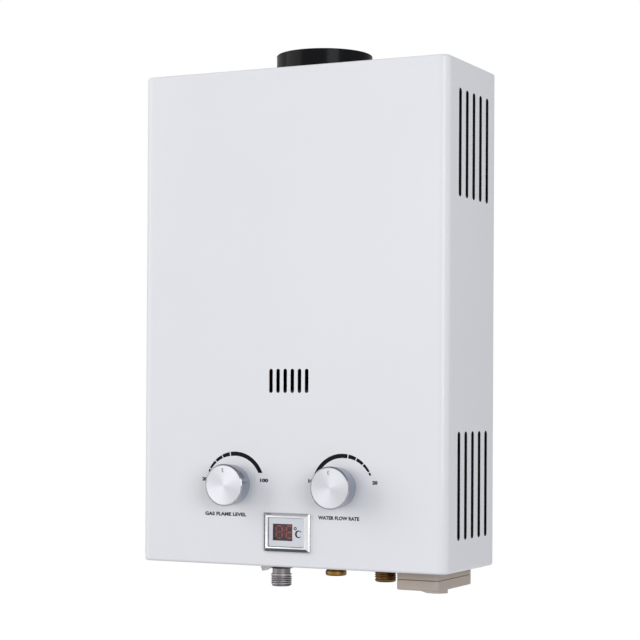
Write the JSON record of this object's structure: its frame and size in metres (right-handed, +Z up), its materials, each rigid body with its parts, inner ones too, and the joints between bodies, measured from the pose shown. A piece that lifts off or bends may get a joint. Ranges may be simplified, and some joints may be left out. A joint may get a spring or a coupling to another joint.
{
  "type": "tankless gas water heater",
  "caption": "Wall-hung flue-type tankless gas water heater: folded white casing, round flue collar, turning knobs, display, pipe fittings and a hinged battery lid.",
  "frame": {"origin": "middle of the back plate's rear face, on the wall plane", "axes": "+Z up, +Y into the wall, the front faces -Y, +X to the right seen from the front"},
  "size_m": [0.325, 0.148, 0.5257],
  "materials": {
    "cover_paint": "semi-gloss white stove enamel",
    "zinc_sheet": "galvanised sheet",
    "black_enamel": "gloss black enamel",
    "copper": "bright copper",
    "steel": "zinc-plated steel",
    "burner_steel": "dull stainless",
    "cast_alloy": "die cast",
    "gas_zinc": "grey plated",
    "brass_light": "machined brass",
    "brass_dark": "dull brass",
    "knob_plating": "satin plated plastic",
    "knob_face": "spun",
    "bezel_chrome": "bright plated plastic",
    "insert_silver": "silver paint",
    "window_dark": "dark tinted",
    "board_green": "solder mask",
    "beige_plastic": "fine texture",
    "white_plastic": "moulded",
    "dark_rubber": "moulded",
    "black_plastic": "moulded",
    "ceramic": "unglazed ceramic",
    "coil_red": "wound and taped",
    "lead_sheath": "silicone sheath"
  },
  "bodies": {
    "casing": {"back_plate": "zinc_sheet", "top_plate": "zinc_sheet", "bottom_plate": "zinc_sheet", "front_cover": "cover_paint", "cover_screws": "steel", "chassis_screws": "steel", "flue_collar": "black_enamel", "collar_screws": "steel", "draft_hood": "zinc_sheet", "heat_exchanger_fins": "copper", "exchanger_tubes": "copper", "combustion_chamber": "copper", "chamber_brackets": "zinc_sheet", "burner_bars": "burner_steel", "burner_frame": "burner_steel", "gas_manifold": "cast_alloy", "gas_jets": "brass_light", "ignition_electrode": "ceramic", "flame_sensor": "ceramic", "gas_inlet": "gas_zinc", "gas_inlet_seal": "dark_rubber", "gas_valve_body": "cast_alloy", "solenoid_coil": "coil_red", "gas_feed_pipe": "cast_alloy", "cold_inlet": "brass_light", "hot_outlet": "brass_dark", "water_valve_body": "brass_light", "water_valve_cover": "brass_light", "diaphragm": "dark_rubber", "cold_riser": "copper", "hot_pipe": "copper", "pipe_nuts": "brass_light", "micro_switch": "black_plastic", "igniter_module": "black_plastic", "display_bezel": "bezel_chrome", "display_panel": "insert_silver", "display_lens": "window_dark", "display_board": "board_green", "overheat_thermostat": "black_plastic", "water_sensor": "black_plastic", "switch_housing": "white_plastic", "battery_box": "beige_plastic", "lid_pin": "steel", "battery_contacts": "steel", "contact_spring": "steel", "igniter_leads": "lead_sheath", "battery_lead": "lead_sheath", "display_lead": "lead_sheath"},
    "flame_knob": {"flame_knob": "knob_plating", "flame_knob_cap": "knob_face", "gas_spindle": "steel"},
    "water_knob": {"water_knob": "knob_plating", "water_knob_cap": "knob_face", "water_spindle": "steel"},
    "rocker": {"switch_rocker": "white_plastic"},
    "battery_lid": {"battery_lid": "beige_plastic"},
    "push_rod": {"push_rod": "steel"},
    "switch_lever": {"switch_lever": "steel"},
    "plunger": {"solenoid_plunger": "steel"}
  },
  "joints": [
    {"name": "flame_knob_turn", "type": "hinge", "parent": "casing", "child": "flame_knob", "pos_m": [-0.0562, -0.122, -0.1618], "axis": [0, -1, 0], "range_deg": [-66, 66]},
    {"name": "water_knob_turn", "type": "hinge", "parent": "casing", "child": "water_knob", "pos_m": [0.0562, -0.122, -0.1618], "axis": [0, -1, 0], "range_deg": [-66, 66]},
    {"name": "switch_rock", "type": "hinge", "parent": "casing", "child": "rocker", "pos_m": [-0.041, -0.08, -0.239], "axis": [0, 1, 0], "range_deg": [0, 40]},
    {"name": "battery_lid_open", "type": "hinge", "parent": "casing", "child": "battery_lid", "pos_m": [0.1259, -0.0196, -0.2506], "axis": [1, 0, 0], "range_deg": [0, 90]},
    {"name": "push_rod_lift", "type": "slide", "parent": "casing", "child": "push_rod", "axis": [0, 0, 1], "range_m": [0, 0.003]},
    {"name": "switch_lever_lift", "type": "hinge", "parent": "casing", "child": "switch_lever", "pos_m": [0.0614, -0.08, -0.1238], "axis": [0, 1, 0], "range_deg": [0, 9.3]},
    {"name": "plunger_pull", "type": "slide", "parent": "casing", "child": "plunger", "axis": [-1, 0, 0], "range_m": [0, 0.004], "stiffness_N_per_m": 150}
  ],
  "couplings": [
    {"joint": "switch_lever_lift", "follows": "push_rod_lift", "rad_per_m": 53}
  ]
}
